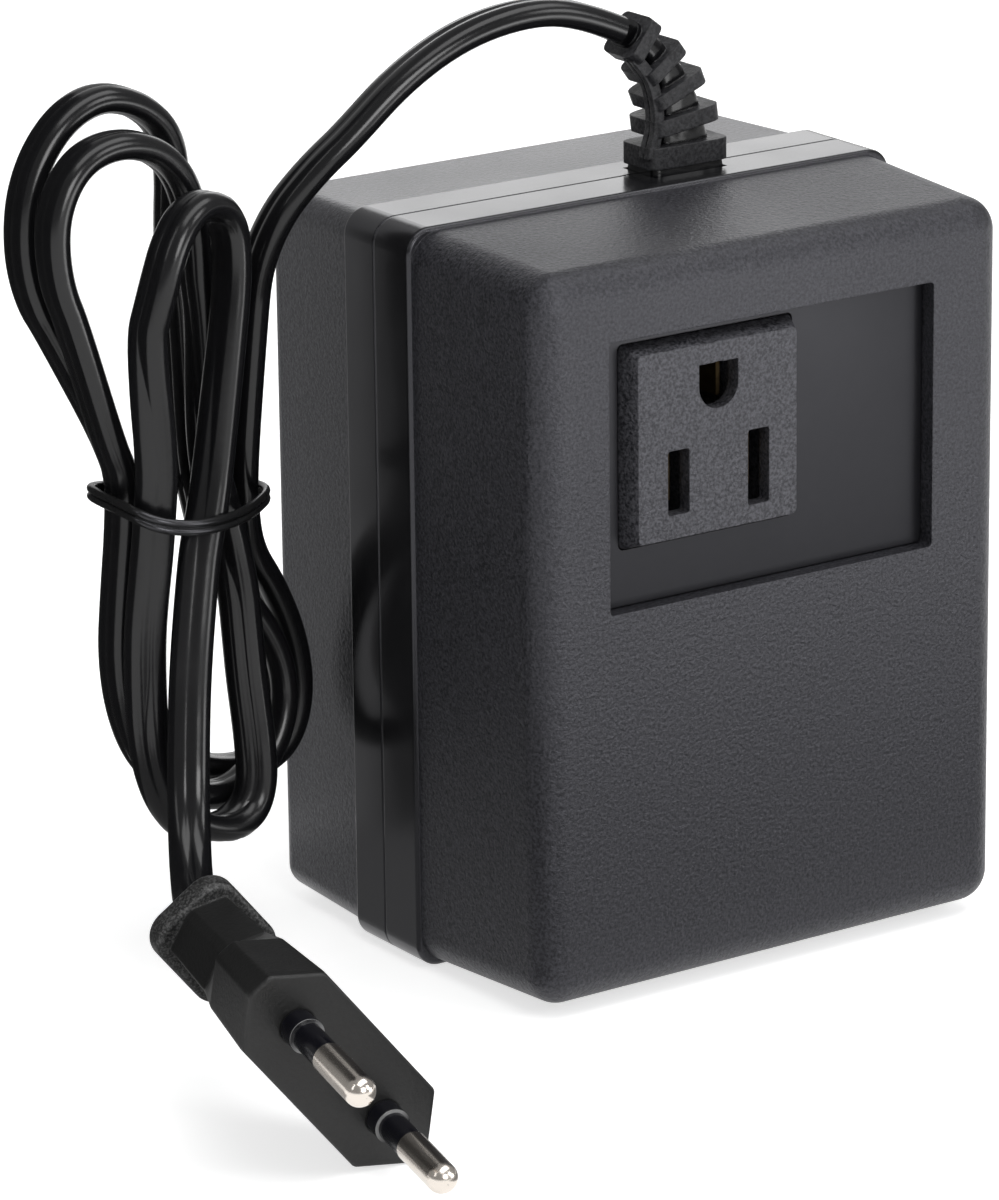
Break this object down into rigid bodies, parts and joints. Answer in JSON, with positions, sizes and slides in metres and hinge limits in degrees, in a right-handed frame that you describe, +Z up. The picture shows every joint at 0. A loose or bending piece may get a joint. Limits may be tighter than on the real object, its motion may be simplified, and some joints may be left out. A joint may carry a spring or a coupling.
{
  "type": "travel voltage converter",
  "caption": "Black two-shell mains converter with a recessed outlet block on its front and a captive flat lead, tied in a hank, with a round-pin plug.",
  "frame": {"origin": "under the middle of the case, on the surface the case stands on", "axes": "+Z up, towards the end the lead leaves; -Y is the outlet's front face; +X is right, seen from the front"},
  "size_m": [0.1387, 0.1099, 0.1299],
  "materials": {
    "case_plastic": "fine spark texture on the walls, polished band",
    "plate_plastic": "smooth satin",
    "outlet_plastic": "fine spark texture",
    "inner_plastic": "as moulded",
    "contact_brass": "stamped strip",
    "zinc_steel": "zinc plated",
    "core_steel": "varnished sheet edges",
    "winding_copper": "enamelled copper wire",
    "tape_paper": "insulating tape",
    "fuse_metal": "drawn can",
    "wire_plastic": "extruded insulation",
    "lead_rubber": "glossy soft moulding",
    "lead_jacket": "glossy extruded jacket",
    "tie_plastic": "coated wire tie",
    "plug_plastic": "satin moulding",
    "pin_nickel": "nickel plated"
  },
  "bodies": {
    "root": {"rear_shell": "case_plastic", "front_shell": "case_plastic", "case_screws": "zinc_steel", "strap_screws": "zinc_steel", "outlet_screws": "zinc_steel", "rating_plate": "plate_plastic", "outlet_block": "outlet_plastic", "outlet_cover": "inner_plastic", "live_contact": "contact_brass", "neutral_contact": "contact_brass", "earth_contact": "contact_brass", "core_e_sheets": "core_steel", "core_i_sheets": "core_steel", "bobbin": "inner_plastic", "primary_winding": "winding_copper", "secondary_winding": "winding_copper", "winding_tape": "tape_paper", "solder_tags": "contact_brass", "core_strap": "zinc_steel", "thermal_fuse": "fuse_metal", "supply_wires": "wire_plastic", "output_wires": "wire_plastic", "strain_relief": "lead_rubber", "cord_feed": "lead_jacket", "cord_hank": "lead_jacket", "cord_tail": "lead_jacket", "cord_tie": "tie_plastic", "plug_body": "plug_plastic", "plug_pins": "pin_nickel", "pin_sleeves": "plug_plastic", "pin_carrier": "inner_plastic"}
  },
  "joints": []
}
